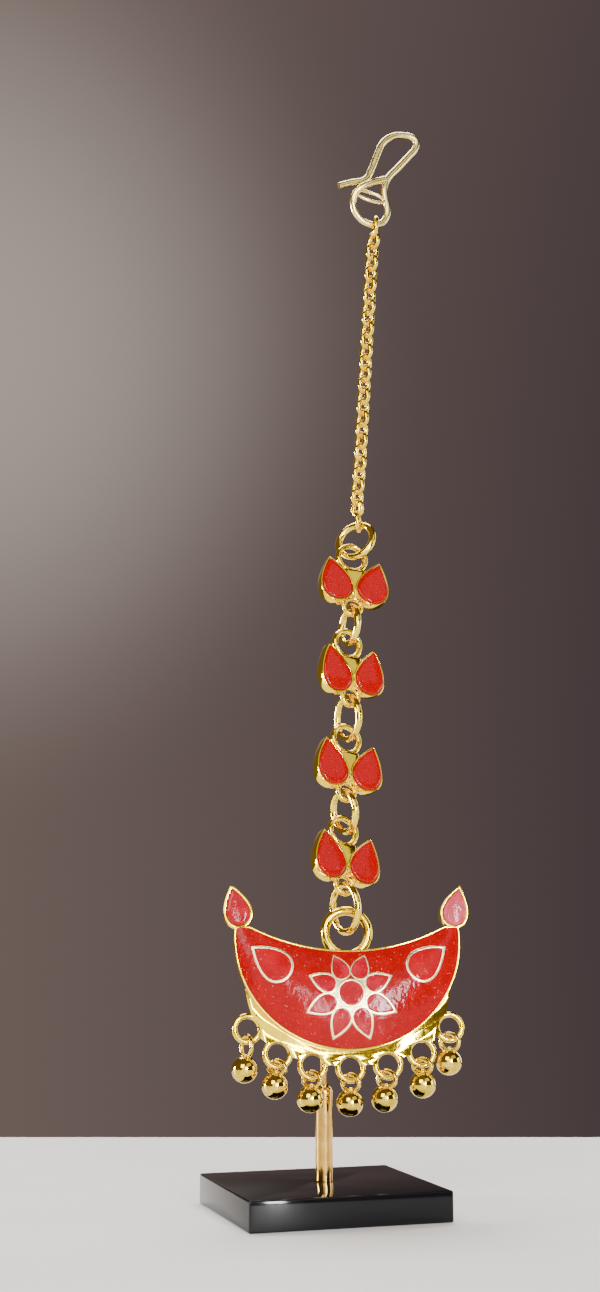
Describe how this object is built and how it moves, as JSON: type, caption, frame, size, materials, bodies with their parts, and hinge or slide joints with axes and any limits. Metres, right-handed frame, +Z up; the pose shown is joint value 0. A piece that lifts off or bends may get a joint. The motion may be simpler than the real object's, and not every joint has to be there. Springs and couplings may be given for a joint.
{
  "type": "maang tikka on a display stand",
  "caption": "Gilt forehead jewel with red enamelled crescent pendant, leaf links, round bells, chain and hair hook, held upright on a small black block stand.",
  "frame": {"origin": "middle of the stand's underside", "axes": "+Z up along the jewel's length, +X to the right along the stand's front edge, -Y towards the viewer of the enamelled face"},
  "size_m": [0.038, 0.0282, 0.1754],
  "materials": {
    "gold": "polished gilt",
    "pale_gold": "polished pale gilt",
    "red_enamel": "glossy red enamel",
    "rose_enamel": "glossy rose red enamel with fine speckle",
    "black_gloss": "polished black"
  },
  "bodies": {
    "root": {"hook": "pale_gold", "chain": "gold", "jump_ring_1": "gold", "jump_ring_2": "gold", "jump_ring_3": "gold", "jump_ring_4": "gold", "jump_ring_5": "gold", "leaf_link_1": "gold", "leaf_enamel_1_left": "red_enamel", "leaf_enamel_1_right": "red_enamel", "leaf_link_2": "gold", "leaf_enamel_2_left": "red_enamel", "leaf_enamel_2_right": "red_enamel", "leaf_link_3": "gold", "leaf_enamel_3_left": "red_enamel", "leaf_enamel_3_right": "red_enamel", "leaf_link_4": "gold", "leaf_enamel_4_left": "red_enamel", "leaf_enamel_4_right": "red_enamel", "pendant": "gold", "enamel_field": "red_enamel", "enamel_petal_1": "rose_enamel", "enamel_petal_2": "rose_enamel", "enamel_petal_3": "rose_enamel", "enamel_petal_4": "rose_enamel", "enamel_petal_5": "rose_enamel", "enamel_petal_6": "rose_enamel", "enamel_petal_7": "rose_enamel", "enamel_petal_8": "rose_enamel", "enamel_centre": "rose_enamel", "enamel_drop_left": "rose_enamel", "enamel_drop_right": "rose_enamel", "enamel_horn_left": "rose_enamel", "enamel_horn_right": "rose_enamel", "bell_1": "gold", "bell_2": "gold", "bell_3": "gold", "bell_4": "gold", "bell_5": "gold", "bell_6": "gold", "bell_7": "gold", "stand_base": "black_gloss", "stand_post": "pale_gold"}
  },
  "joints": []
}
